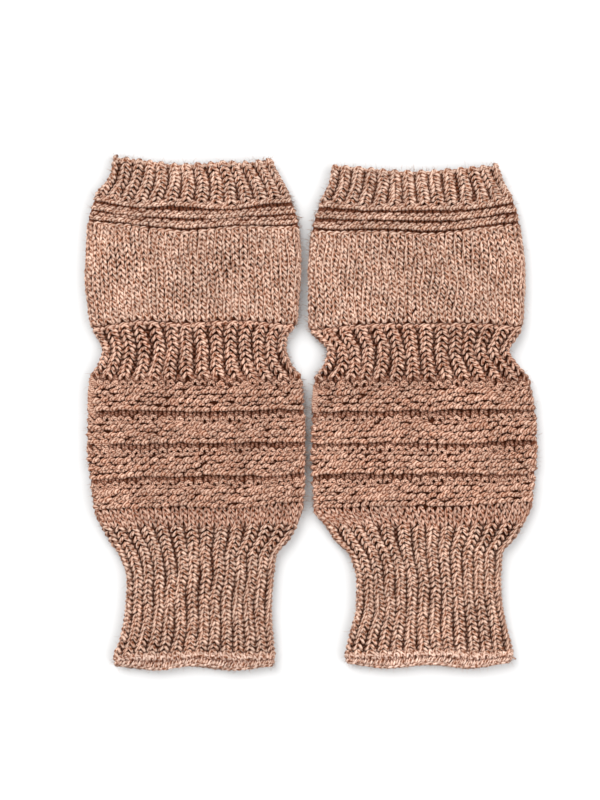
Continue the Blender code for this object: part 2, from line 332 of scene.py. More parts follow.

# The yarn of each slot, or of one stretch where that looks different: the material's name, the
# light and the dark shade that its plies mix, the painted shade between the stitches, and its twist's
# length.
YarnLook = namedtuple("YarnLook", "name light dark deep twist", defaults=(13.0,))
LIGHT_PLY, DARK_PLY = (0.618, 0.433, 0.341), (0.285, 0.114, 0.060)
# Painted shade between the stitches, and a darker painted shade for the furrows of the waist and cuff ribs.
PAINTED_SHADE, DARKER_PAINTED_SHADE = (0.092, 0.019, 0.005), (0.058, 0.010, 0.002)
TIGHT_TWIST = 6.5
YARN_LOOKS = {
    "rib_knit": YarnLook("rib_yarn", LIGHT_PLY, DARK_PLY, PAINTED_SHADE),
    "garter_knit": YarnLook("garter_yarn", LIGHT_PLY, DARK_PLY, PAINTED_SHADE, TIGHT_TWIST),
    "plain_knit": YarnLook("plain_yarn", LIGHT_PLY, DARK_PLY, PAINTED_SHADE),
    "welt_knit": YarnLook("welt_yarn", (0.588, 0.382, 0.290), (0.280, 0.106, 0.055), PAINTED_SHADE, TIGHT_TWIST),
    "edge_knit": YarnLook("edge_yarn", (0.675, 0.485, 0.395), (0.30, 0.126, 0.070), PAINTED_SHADE),
    "waist_rib": YarnLook("waist_yarn", (0.618, 0.403, 0.307), (0.258, 0.092, 0.046), DARKER_PAINTED_SHADE),
    "cuff_rib": YarnLook("cuff_yarn", (0.610, 0.418, 0.325), DARK_PLY, DARKER_PAINTED_SHADE),
    # The taper's yarn is darker all over as painted shade: the taper slopes down, away from the light.
    "taper": YarnLook("taper_yarn", (0.515, 0.332, 0.254), (0.244, 0.090, 0.047), PAINTED_SHADE),
    "fuzz": YarnLook("loose_fibres", LIGHT_PLY, LIGHT_PLY, PAINTED_SHADE),
}

# The yarn's shader. Where a range has four numbers, it turns the first two into the last two.
FIBRE_GRAIN = (0.9, 3.5)  # how fine the fibres' grain is along the yarn and across a ply
FIBRE_MIX = 1.4  # how much of the two shades' mix comes from that grain
SPECKLE_MIX = 0.7  # and how much from single fibres of another shade
SPECKLE_SCALE, HEATHER_SCALE, PATCH_SCALE = 1100.0, 170.0, 22.0  # noises on the object, in metres
NOISE_RANGE = (0.3, 0.7)  # where most of a noise's values lie
HEATHER_RANGE = (-0.5, 0.5)  # changes of shade from stitch to stitch
PATCH_RANGE = (-0.4, 0.4)  # and slower ones over the cloth
MEAN_SHADE = 1.03
PLY_RANGE = (0.15, 0.95, 0.02, 0.86)  # the mix, lighter from the side of a ply to its top: painted shade on the ply's sides
CREASE_RANGE = (0.0, 0.8, 0.66, 0.0)  # the share of painted shade in the crease at a ply's side
DEPTH_SHADES = (0.1, 0.9, 0.0, 0.92)  # and the share of painted shade from the top of the cloth down
ROUGH_CHANGE = 0.2  # how much the grain changes the roughness
PLY_RELIEF, FIBRE_RELIEF = 0.8, 0.5  # shares of the bump
YARN_RELIEF, YARN_BUMP = 0.22, 0.8  # its height and strength

# The ground's shader: the backs of the loops, painted near black as the shade between the stitches.
LOOP_PAINTED_SHADES = (0.035, 0.009, 0.004, 1), (0.075, 0.021, 0.009, 1)
LOOP_ROUGHNESS = (0.2, 0.8, 0.85, 0.98)
LOOP_SCALE = 700.0
LOOP_RELIEF = 0.3

# The room.
FLOOR_HALF = 2.5  # metres from the middle of the floor to its sides
ROOM_STRENGTH = 0.70
Softbox = namedtuple("Softbox", "name energy angle tilt_x tilt_y")
SOFTBOXES = (
    Softbox("key_softbox", 2.60, 0.8, -35.0, -30.0),
    Softbox("fill_softbox", 1.60, 0.9, 6.0, 40.0),
)
LENS, SENSOR = 100.0, 36.0  # the camera's lens and the longer side of its sensor
VIEW_MIDDLE = (-5.35, 5.8, 5)  # the point that it looks at
VIEW_HEIGHT = 372.0  # what it sees there from top to bottom
VIEW_END = 20.0  # metres

# Each hand warmer: its side, its outline, and the seed of its random draws.
PAIR = (("left", LEFT_SECTIONS, 11), ("right", RIGHT_SECTIONS, 23))

# Added to that seed, so that each kind of draw has its own.
ROW_DRAWS, WALE_DRAWS, SWELL_DRAWS, LEAN_DRAWS = 0, 1, 2, 3
KNITTING_DRAWS = 10
PATCH_DRAWS, FIBRE_DRAWS, FUZZ_MAP_DRAWS = 50, 60, 70
END_MAP_DRAWS = 80
STITCH_MAP_DRAWS = 100

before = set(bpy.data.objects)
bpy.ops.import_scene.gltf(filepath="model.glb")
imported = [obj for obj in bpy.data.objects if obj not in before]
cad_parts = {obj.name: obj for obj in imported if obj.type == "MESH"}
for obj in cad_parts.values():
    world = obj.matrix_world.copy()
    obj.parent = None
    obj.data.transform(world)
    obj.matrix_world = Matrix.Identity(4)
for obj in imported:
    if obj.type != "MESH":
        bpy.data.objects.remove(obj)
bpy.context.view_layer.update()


def fresh(seed):
    """Random draws that are the same in every run."""
    return np.random.default_rng(seed)


def unit(vectors):
    """The same directions, one long."""
    return vectors / np.linalg.norm(vectors, axis=-1, keepdims=True)


def eased(sections, column, heights):
    """One column of the outline at the given mid-width heights, eased between the sections."""
    knots = np.array([section.y for section in sections[::-1]])
    values = np.array([getattr(section, column) for section in sections[::-1]])
    steps = np.diff(knots)
    rises = np.diff(values) / steps
    before, after = rises[:-1], rises[1:]
    turns = before * after <= 0
    inner = np.where(turns, 0.0, 2 * before * after / np.where(turns, 1.0, before + after))
    slopes = np.concatenate([rises[:1], inner, rises[-1:]])
    i = np.clip(np.searchsorted(knots, heights, side="right") - 1, 0, len(steps) - 1)
    t = np.clip((heights - knots[i]) / steps[i], 0.0, 1.0)
    return (
        values[i] * (1 + 2 * t) * (1 - t) ** 2
        + slopes[i] * steps[i] * t * (1 - t) ** 2
        + values[i + 1] * t * t * (3 - 2 * t)
        - slopes[i + 1] * steps[i] * t * t * (1 - t)
    )


class Ripples:
    """A few slow waves over a tube, added up, which close round it."""

    def __init__(self, seed, waves):
        draws = fresh(seed)
        self.round = draws.integers(0, waves.turns + 1, WAVE_COUNT) * draws.choice([-1, 1], WAVE_COUNT)
        self.down = draws.uniform(*WAVE_RANGE, WAVE_COUNT) / waves.length
        self.start = draws.uniform(0, 1, WAVE_COUNT)
        self.size = waves.size / math.sqrt(WAVE_COUNT / 2)

    def __call__(self, stitches, heights):
        total = 0.0
        for turns, waves, start in zip(self.round, self.down, self.start):
            total = total + np.sin(2 * math.pi * (stitches * turns / ROUND + heights * waves + start))
        return self.size * total


class Tube:
    """One hand warmer as a surface: stitches round it from the left fold, and heights up it."""

    def __init__(self, side, sections, seed):
        self.side = side
        self.sections = sections
        self.seed = seed
        self.named = {section.name: section.y for section in sections}
        self.row_waves = Ripples(seed + ROW_DRAWS, ROW_WAVES)
        self.wale_waves = Ripples(seed + WALE_DRAWS, WALE_WAVES)
        self.swell = Ripples(seed + SWELL_DRAWS, SWELL_WAVES)
        self.lean_waves = Ripples(seed + LEAN_DRAWS, LEAN_WAVES)
        heights, levels, wales = [], [], []
        for stretch in STRETCHES:
            start, end = self.ends(stretch)
            for share, level in LEVELS[stretch.name]:
                heights.append(start + (end - start) * share)
                levels.append(level)
            for height in (start - RIB_EASE / 2, end + RIB_EASE / 2):
                wales.append((height, stretch.wale))
        self.level_heights, self.levels = np.array(heights)[::-1], np.array(levels)[::-1]
        self.wale_heights, self.wales = np.array(wales)[::-1].T

    def ends(self, stretch):
        """The heights where a stretch starts and ends."""
        return self.named[stretch.first], self.named[stretch.last]

    def front_level(self, heights):
        """The height of the middle of the front layer's yarn."""
        return np.interp(heights, self.level_heights, self.levels)

    def back_level(self, heights):
        """The same for the back layer, which the table presses nearly flat."""
        lacking = np.clip(BACK_LOWEST_AT - self.front_level(heights), 0.0, BACK_RELIEF_MOST)
        return BACK_LEVEL + lacking * BACK_RELIEF

    def lean(self, stitches, heights):
        """How much a purl bump leans, in rows a stitch: most rise to the right."""
        return BUMP_LEAN + self.lean_waves(stitches, heights)

    def wale_share(self, heights):
        """The share of a pair of stitches that the knit wale takes."""
        return np.interp(heights, self.wale_heights, self.wales)

    def row_course(self, place, heights, on_front):
        """How high a row lies at a place from -1 to 1 across, given its height at mid width."""
        left_drop = eased(self.sections, "y_left", heights) - heights
        right_drop = eased(self.sections, "y_right", heights) - heights
        bow = place * place * ((left_drop + right_drop) + place * (right_drop - left_drop)) / 2
        end = self.named["cuff end"]
        near_edge = np.clip((end - heights) / (end - self.named["lower edge"]), 0.0, EDGE_WAVE_MOST)
        wave = EDGE_WAVE * near_edge * np.cos(2 * math.pi * place)
        near_top = np.clip((heights - self.named["top rib"]) / TOP_DROP_REACH, 0.0, 1.0)
        drop = np.where(on_front, 0.0, BACK_TOP_DROP) * near_top * (1 - place**TOP_DROP_POWER)
        return heights + bow + (wave - drop)

    def at(self, stitches, heights, lift):
        """The points of the cloth, moved out by lift, and the directions out of the cloth."""
        stitches = np.mod(stitches, ROUND)
        on_front = stitches < ACROSS
        face = np.where(on_front, 1.0, -1.0)
        way = np.where(on_front, stitches, ROUND - stitches) / ACROSS
        way = way - CROWDING * np.sin(2 * math.pi * way) / (2 * math.pi)
        left = eased(self.sections, "left", heights)
        right = eased(self.sections, "right", heights)
        middle, half = (left + right) / 2, (right - left) / 2
        front = self.front_level(heights) + self.swell(stitches, heights)
        rise = np.where(on_front, front - LAYER_MIDDLE, LAYER_MIDDLE - self.back_level(heights))
        flat = half - INSET - FOLD
        quarter = math.pi / 2 * np.sqrt((FOLD * FOLD + rise * rise) / 2)
        along = way * 2 * (flat + quarter)
        to_fold = np.minimum(along, 2 * (flat + quarter) - along)
        angle = math.pi / 2 * np.clip(to_fold / quarter, 0.0, 1.0)
        hand = np.where(way < 0.5, -1.0, 1.0)
        reach = np.where(to_fold < quarter, hand * (flat + FOLD * np.cos(angle)), along - quarter - flat)
        out = np.stack([hand * np.cos(angle), np.zeros_like(reach), face * np.sin(angle)], axis=-1)
        lying = self.row_course(np.clip(reach / half, -1.0, 1.0), heights, on_front)
        level = LAYER_MIDDLE + face * rise * np.sin(angle) + FOLD_LIFT * np.cos(angle) ** 2
        points = np.stack([middle + reach, lying, level], axis=-1)
        return points + out * lift[..., None], out


# Rows of knitting.

Row = namedtuple("Row", "stretch kind y pitch columns", defaults=(range(ROUND),))


def even_rows(stretch, top, end):
    """The rows of a stretch that follow each other evenly, and those that join them to the rest."""
    kind = "rib" if stretch.slot == "rib_knit" else "knit"
    start = top - ROOM_ABOVE.get(stretch.name, 0.0)
    count = EVEN_ROWS[stretch.name]
    step = (start - end) / count
    pitch = step * LEG_REACH.get(stretch.name, 1.0)
    rows = [
        Row(stretch, over, top + height, own_pitch or step)
        for over, height, own_pitch in ROWS_OVER.get(stretch.name, ())
    ]
    rows.extend(Row(stretch, kind, start - step * (k + 0.5), pitch) for k in range(count))
    if kind == "rib" and stretch.name != "top_rib":
        rows.append(Row(stretch, kind, start, pitch, FURROWS))
    if kind == "rib":
        rows.append(Row(stretch, kind, end, pitch, FURROWS))
    return rows


def welted_rows(side, stretch, top, end):
    """The rows of the welts, and the stitches of the side seam over them."""
    rows = []
    for welt in range(WELTS):
        for kind, share in FIRST_WELT_ROWS if welt == 0 else WELT_ROWS:
            height = top - (top - end) * (welt + share) / WELTS
            rows.append(Row(stretch, kind, height, SUNK_PITCH if kind == "sunk" else WELT_PITCH))
    for seam in SEAMS:
        if seam.side == side:
            for height in np.arange(seam.first, seam.last, -seam.step):
                rows.append(Row(stretch, "seam", height, WELT_PITCH, seam.columns))
    return rows


def rows_of(tube):
    """Every row of the tube, from the top stretch to the lower edge."""
    rows = []
    for stretch in STRETCHES:
        top, end = tube.ends(stretch)
        if stretch.name in EVEN_ROWS:
            rows.extend(even_rows(stretch, top, end))
        elif stretch.name == "garter_ridges":
            for kind, share in GARTER_ROWS:
                rows.append(Row(stretch, kind, top - (top - end) * share, GARTER_PITCH))
        elif stretch.name == "welted_band":
            rows.extend(welted_rows(tube.side, stretch, top, end))
        else:
            rows.extend(Row(stretch, kind, top + height, pitch) for kind, height, pitch in BOUND_ROWS)
            rows.append(Row(stretch, "lip", end + LIP_HEIGHT, EDGE_PITCH))
    return rows


def strands_of(kind, column):
    """The lengths of yarn that show of the stitch in one column of a row."""
    if kind == "rib":
        kind = "wale" if column % 2 == 0 else "furrow"
    if kind == "arch":
        filled = sum(math.sin(beat * column) for beat in ARCH_BEATS) > ARCH_FILLED
        kind = "filled arch" if filled else "open arch"
    return STRANDS[kind]


# One length of yarn in its row: across in stitches from its column, up in millimetres from its row.
Length = namedtuple("Length", "column row across up lift size open")


def knit_rows(tube):
    """Every length of yarn on the tube: {(stretch name, whether on the front): [its lengths]}."""
    draws = fresh(tube.seed + KNITTING_DRAWS)
    knitted = {}
    for row in rows_of(tube):
        loose = LOOSENESS.get(row.kind, 1.0)
        for column in row.columns:
            lean = tube.lean(column, row.y) if row.kind == "purl" else 0.0
            lengths = knitted.setdefault((row.stretch.name, column < ACROSS), [])
            for strand in strands_of(row.kind, column):
                nudge_across, nudge_up = draws.normal(0.0, NUDGE) * loose
                tilt, nudge_lift, swelling = draws.normal(0.0, UNEVEN) * loose
                across, up, lift, size = np.array(strand.bends)
                across, up = across * strand.flip, up * strand.turn
                up = (up + (tilt + lean) * across + nudge_up) * row.pitch
                across = across + nudge_across + strand.shift
                size = size * YARN * strand.radius * (1 + swelling)
                lengths.append(Length(column, row.y, across, up, lift + nudge_lift, size, strand.open))
    return knitted


# Many lengths of yarn on a tube: where they bend, the directions out of the cloth there, their
# radius there, and their height over the cloth that sets their painted shade.
Laid = namedtuple("Laid", "points out size height")


def laid_on(tube, lengths):
    """The lengths of yarn in their places on the tube."""
    column, row, across, up, lift, size, opened = (np.array(values) for values in zip(*lengths))
    column, row, opened = column[:, None], row[:, None], opened[:, None]
    heights = row + up
    wale = tube.wale_share(heights)
    stitches = column + 0.5 + 2 * np.where(column % 2 == 0, wale, 1 - wale) * across
    stitches = stitches + tube.wale_waves(column + 0.5, row)
    heights = heights + tube.row_waves(stitches, row)
    points, out = tube.at(stitches, heights, lift)
    return Laid(points, out, size, lift + opened)


# Meshes of many lengths of yarn.

# One closed length of yarn: the ring and the angle of each of its points, its faces, and for each of
# their corners the point, its ring, how far round the yarn it is, and whether the face is an end.
Template = namedtuple("Template", "ring angle faces corners ring_of turn cap")


def to_data(name, mesh):
    """The finished mesh of a bmesh."""
    data = bpy.data.meshes.new(name)
    mesh.to_mesh(data)
    mesh.free()
    return data


def push_up(mesh, edges):
    """Draws a ring of edges up by one, and gives the new ring."""
    drawn = bmesh.ops.extrude_edge_only(mesh, edges=edges)["geom"]
    verts = [part for part in drawn if isinstance(part, bmesh.types.BMVert)]
    bmesh.ops.translate(mesh, vec=(0, 0, 1), verts=verts)
    return [part for part in drawn if isinstance(part, bmesh.types.BMEdge) and part.is_boundary]


def yarn_template(sides, rings):
    """One closed length of yarn, drawn up out of a circle: its rings are a unit apart.

    Its faces are sorted, because the operators list them in another order in each run."""
    mesh = bmesh.new()
    bmesh.ops.create_circle(mesh, cap_ends=False, radius=1.0, segments=sides)
    edges = mesh.edges[:]
    for _ in range(rings - 1):
        edges = push_up(mesh, edges)
    bmesh.ops.holes_fill(mesh, edges=[edge for edge in mesh.edges if edge.is_boundary], sides=0)
    bmesh.ops.recalc_face_normals(mesh, faces=mesh.faces)
    mesh.verts.index_update()
    places = np.array([vertex.co for vertex in mesh.verts])
    ring = np.rint(places[:, 2]).astype(int)
    angle = np.mod(np.arctan2(places[:, 1], places[:, 0]), 2 * math.pi)
    faces = sorted([vertex.index for vertex in face.verts] for face in mesh.faces)
    mesh.free()
    turn, cap = [], []
    for face in faces:
        is_end = len(set(ring[face])) == 1
        turns = np.mod(np.rint(angle[face] / (2 * math.pi) * sides), sides) / sides
        if not is_end and turns.max() - turns.min() > 0.5:
            turns = np.where(turns < 0.5, turns + 1.0, turns)
        turn.extend(turns)
        cap.extend([is_end] * len(face))
    corners = np.concatenate(faces)
    return Template(ring, angle, faces, corners, ring[corners], np.array(turn), np.array(cap))


def copies_of(name, shape, places):
    """A mesh of as many closed lengths of yarn as there are sets of places for their points."""
    number = np.arange(len(places))[:, None]
    sides = np.array([len(face) for face in shape.faces])
    corners = number * len(shape.ring) + shape.corners
    starts = number * len(shape.corners) + np.concatenate([[0], np.cumsum(sides)[:-1]])
    data = bpy.data.meshes.new(name)
    data.vertices.add(places.size // 3)
    data.vertices.foreach_set("co", places.astype(np.float32).ravel())
    data.loops.add(corners.size)
    data.loops.foreach_set("vertex_index", corners.astype(np.int32).ravel())
    data.polygons.add(starts.size)
    data.polygons.foreach_set("loop_start", starts.astype(np.int32).ravel())
    data.update(calc_edges=True)
    data.validate()
    data.shade_smooth()
    return data


def set_depth(data, values):
    """How deep in the cloth each point of the yarn lies, from 0 on top to 1 underneath: its share of
    painted shade.
    """
    layer = data.attributes.new("depth", "FLOAT", "POINT")
    layer.data.foreach_set("value", np.ascontiguousarray(values, dtype=np.float32).ravel())


def set_map(data, name, values):
    """A new map with the given place for each corner."""
    layer = data.uv_layers.new(name=name)
    layer.data.foreach_set("uv", np.ascontiguousarray(values, dtype=np.float32).ravel())


def yarn_map(shape, points, seed):
    """How far along the yarn each corner is, in millimetres, and how far round it, in turns."""
    draws = fresh(seed)
    count = len(points)
    steps = np.linalg.norm(np.diff(points, axis=1), axis=-1)
    travelled = np.concatenate([np.zeros((count, 1)), np.cumsum(steps, axis=1)], axis=1)
    start = draws.integers(0, YARN_STEPS, count) * YARN_STEP + draws.uniform(0, YARN_SHIFT, count)
    along = travelled[:, shape.ring_of] + start[:, None]
    return np.stack([along, np.broadcast_to(shape.turn, along.shape)], axis=-1)


def cell_map(shape, count):
    """The place of each corner in its length's own cell."""
    cells = math.ceil(math.sqrt(count))
    cell = np.stack([np.arange(count) % cells, np.arange(count) // cells], axis=-1)[:, None]
    side_x = CELL_CORNER + CELL_SIDE[0] * shape.ring_of / shape.ring.max()
    side_y = CELL_CORNER + CELL_SIDE[1] * shape.turn
    swing = 2 * math.pi * shape.turn
    end_x = CELL_END[0] + CELL_END_SIZE[0] * np.cos(swing)
    end_y = CELL_END[1] + CELL_END_STEP * (shape.ring_of > 0) + CELL_END_SIZE[1] * np.sin(swing)
    side, end = np.stack([side_x, side_y], axis=-1), np.stack([end_x, end_y], axis=-1)
    return (cell + np.where(shape.cap[:, None], end, side)[None]) / cells


def mesh_of_yarns(name, laid, sides, seed):
    """A mesh of closed lengths of yarn round the points where they bend, with its depth and maps."""
    points, out, size, height = laid
    count, rings = size.shape
    shape = yarn_template(sides, rings)
    course = unit(np.gradient(points, axis=1))
    aside = unit(np.cross(out, course))
    above = np.cross(course, aside)
    spokes = (
        np.cos(shape.angle)[None, :, None] * aside[:, shape.ring]
        + np.sin(shape.angle)[None, :, None] * above[:, shape.ring]
    )
    places = points[:, shape.ring] + size[:, shape.ring, None] * spokes
    places[..., 2] = np.maximum(places[..., 2], 0.0)
    data = copies_of(name, shape, places * MM)
    # Painted shade: the sides of each length count as lying deeper than they do.
    rise = 1 - SIDE_DROP * (1 - np.sin(shape.angle)[None, :])
    top = height[:, shape.ring] + size[:, shape.ring] * rise
    set_depth(data, np.clip((DEPTH_TOP - top) / DEPTH_RANGE, 0.0, 1.0))
    set_map(data, "yarn", yarn_map(shape, points, seed))
    set_map(data, "OFBake", cell_map(shape, count))
    return data


def placed(name, data):
    """A new object in the scene."""
    placed_object = bpy.data.objects.new(name, data)
    bpy.context.scene.collection.objects.link(placed_object)
    return placed_object


def show(name, data, material):
    """A new piece, which rides on the one body."""
    piece = placed(name, data)
    data.materials.append(material)
    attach(piece, "root")
    return piece


# Loose fibres, and the end of the yarn.

# Where fibres grow: how many, between which stitches and heights, which way they lean, and how
# thick they are for a fibre.
Patch = namedtuple("Patch", "count first last high low lean thick", defaults=(1.0,))


def patches_of(tube):
    """The fold that faces the other hand warmer, the front, both folds, and the two open ends."""
    top, low = tube.named["top edge"], tube.named["lower edge"]
    if tube.side == "left":
        facing = Patch(700, ACROSS, ACROSS + 1.3, 100.0, -46.0, (0.9, 0.0, 0.1), 1.8)
    else:
        facing = Patch(700, -1.3, 0.0, 100.0, -46.0, (-0.9, 0.0, 0.1), 1.8)
    return (
        facing,
        Patch(500, 0.0, ACROSS, top, low, (0.0, 0.0, 0.0)),
        Patch(560, -1.6, 0.7, top, low, (-0.5, 0.0, 0.1)),
        Patch(560, ACROSS - 0.7, ACROSS + 1.6, top, low, (0.5, 0.0, 0.1)),
        Patch(220, 0.0, ACROSS, top + 0.5, top - 1.5, (0.0, 0.9, 0.0)),
        Patch(260, 0.0, ACROSS, low + 1.5, low + 0.2, (0.0, -0.9, 0.0)),
    )


def fibres_on(tube, patch, stitches, heights, seed):
    """Fine hairs that stand off the cloth at the given places, as lengths of yarn."""
    draws = fresh(seed)
    count = patch.count
    roots, out = tube.at(stitches, heights, np.full(count, FIBRE_START))
    course = out * draws.uniform(*FIBRE_STAND, (count, 1)) + draws.normal(0.0, FIBRE_STRAY, (count, 3))
    course = unit(course + np.array(patch.lean))
    aside = unit(np.cross(course, draws.normal(0.0, 1.0, (count, 3))))
    length = np.minimum(draws.lognormal(*FIBRE_LENGTHS, count), FIBRE_LONGEST)[:, None, None]
    bend = draws.normal(0.0, FIBRE_BEND, count)[:, None, None]
    along = np.linspace(0.0, 1.0, len(FIBRE_TAPER))[None, :, None]
    points = roots[:, None] + length * (along * course[:, None] + bend * along**2 * aside[:, None])
    points[..., 2] = np.maximum(points[..., 2], FIBRE_LOWEST)
    size = FIBRE * patch.thick * np.array(FIBRE_TAPER) * draws.uniform(*FIBRE_SIZES, (count, 1))
    out = np.broadcast_to(aside[:, None], points.shape)
    return Laid(points, out, size, np.full(size.shape, DEPTH_TOP))


def loose_fibres(tube):
    """The hairs of all patches of a tube."""
    draws = fresh(tube.seed + PATCH_DRAWS)
    groups = []
    for number, patch in enumerate(patches_of(tube)):
        stitches = draws.uniform(patch.first, patch.last, patch.count)
        heights = draws.uniform(patch.low, patch.high, patch.count)
        groups.append(fibres_on(tube, patch, stitches, heights, tube.seed + FIBRE_DRAWS + number))
    return Laid(*(np.concatenate(values) for values in zip(*groups)))


def loose_end():
    """The short end of the yarn that stands out at a fold, as one length."""
    points = np.array([LOOSE_END])
    out = np.broadcast_to([0.0, 0.0, 1.0], points.shape)
    size = YARN * np.array([LOOSE_END_TAPER])
    return Laid(points, out, size, np.zeros(size.shape))


# The ground behind the stitches.


def ground_mesh(name, tube):
    """A thin closed tube behind the stitches: rings down its outer face, and back up its inner face."""
    top, end = tube.named["top edge"] - GROUND_SHORT, tube.named["lower edge"] + GROUND_SHORT
    heights = np.linspace(top, end, GROUND_RINGS)
    mesh = bmesh.new()
    bmesh.ops.create_circle(mesh, cap_ends=False, radius=1.0, segments=2 * ROUND)
    first = edges = mesh.edges[:]
    for _ in range(2 * GROUND_RINGS - 1):
        edges = push_up(mesh, edges)
    bmesh.ops.bridge_loops(mesh, edges=first + edges)
    places = np.array([vertex.co for vertex in mesh.verts])
    ring = np.rint(places[:, 2]).astype(int)
    stitches = np.mod(np.arctan2(places[:, 1], places[:, 0]) / (2 * math.pi), 1.0) * ROUND
    inside = ring >= GROUND_RINGS
    height = heights[np.where(inside, 2 * GROUND_RINGS - 1 - ring, ring)]
    lift = np.where(inside, GROUND_INNER, GROUND_OUTER)
    ribbed = np.clip((tube.wale_share(height) - 0.5) * FURROW_ONSET, 0.0, 1.0)
    furrow = (0.5 - 0.5 * np.cos(math.pi * (stitches - 0.5))) * ribbed * (stitches < ACROSS)
    points, _ = tube.at(stitches, height, lift - GROUND_FURROW * furrow)
    for vertex, point in zip(mesh.verts, points * MM):
        vertex.co = point
    bmesh.ops.recalc_face_normals(mesh, faces=mesh.faces)
    mesh.verts.index_update()
    mesh.faces.sort(key=lambda face: face.verts[0].index * len(mesh.verts) + face.verts[1].index)
    data = to_data(name, mesh)
    data.shade_smooth()
    return data


def flat_area(tube):
    """The area of the knitted tube cut open and laid flat, and its largest width and length."""
    start, end = tube.named["top edge"], tube.named["lower edge"]
    heights = np.linspace(end, start, FLAT_STEPS)
    width = eased(tube.sections, "right", heights) - eased(tube.sections, "left", heights)
    return 2 * width.mean() * (start - end) * MM * MM, (2 * width.max() * MM, (start - end) * MM)


# Materials.


def set_inputs(node, values):
    """Sets some of a node's sockets, by their names."""
    for name, value in values.items():
        node.inputs[name].default_value = value


class Nodes:
    """Short calls for adding and joining shader nodes."""

    def __init__(self, tree):
        self.tree = tree

    def add(self, kind, **settings):
        node = self.tree.nodes.new(kind)
        for name, value in settings.items():
            setattr(node, name, value)
        return node

    def join(self, source, target):
        self.tree.links.new(source, target)

    def give(self, socket, value):
        """Sets a socket, or joins to it if the value comes from another node."""
        if isinstance(value, bpy.types.NodeSocket):
            self.join(value, socket)
        else:
            socket.default_value = value

    def math(self, operation, first, second=None, clamp=False):
        node = self.add("ShaderNodeMath", operation=operation, use_clamp=clamp)
        self.give(node.inputs[0], first)
        if second is not None:
            self.give(node.inputs[1], second)
        return node.outputs[0]

    def mix(self, share, first, second):
        """A mix of two colours."""
        node = self.add("ShaderNodeMix", data_type="RGBA")
        for index, value in ((0, share), (6, first), (7, second)):
            self.give(node.inputs[index], value)
        return node.outputs[2]

    def pair(self, first, second):
        """Two numbers as one place."""
        node = self.add("ShaderNodeCombineXYZ")
        self.join(first, node.inputs[0])
        self.join(second, node.inputs[1])
        return node.outputs[0]

    def noise(self, vector, scale, detail=2.0, rough=0.5):
        node = self.add("ShaderNodeTexNoise")
        set_inputs(node, {"Scale": scale, "Detail": detail, "Roughness": rough})
        self.join(vector, node.inputs["Vector"])
        return node.outputs["Fac"]

    def spread(self, value, low, high, to_low=0.0, to_high=1.0):
        """Turns the range from low to high into the other one, softly at both ends."""
        node = self.add("ShaderNodeMapRange", interpolation_type="SMOOTHSTEP")
        set_inputs(node, {"From Min": low, "From Max": high, "To Min": to_low, "To Max": to_high})
        self.join(value, node.inputs["Value"])
        return node.outputs[0]

    def swing(self, value, size):
        """A noise about zero, times a size."""
        return self.math("MULTIPLY", self.math("SUBTRACT", value, 0.5), size)

    def bump(self, height, distance, strength=1.0):
        node = self.add("ShaderNodeBump")
        set_inputs(node, {"Strength": strength, "Distance": distance})
        self.join(height, node.inputs["Height"])
        return node.outputs[0]


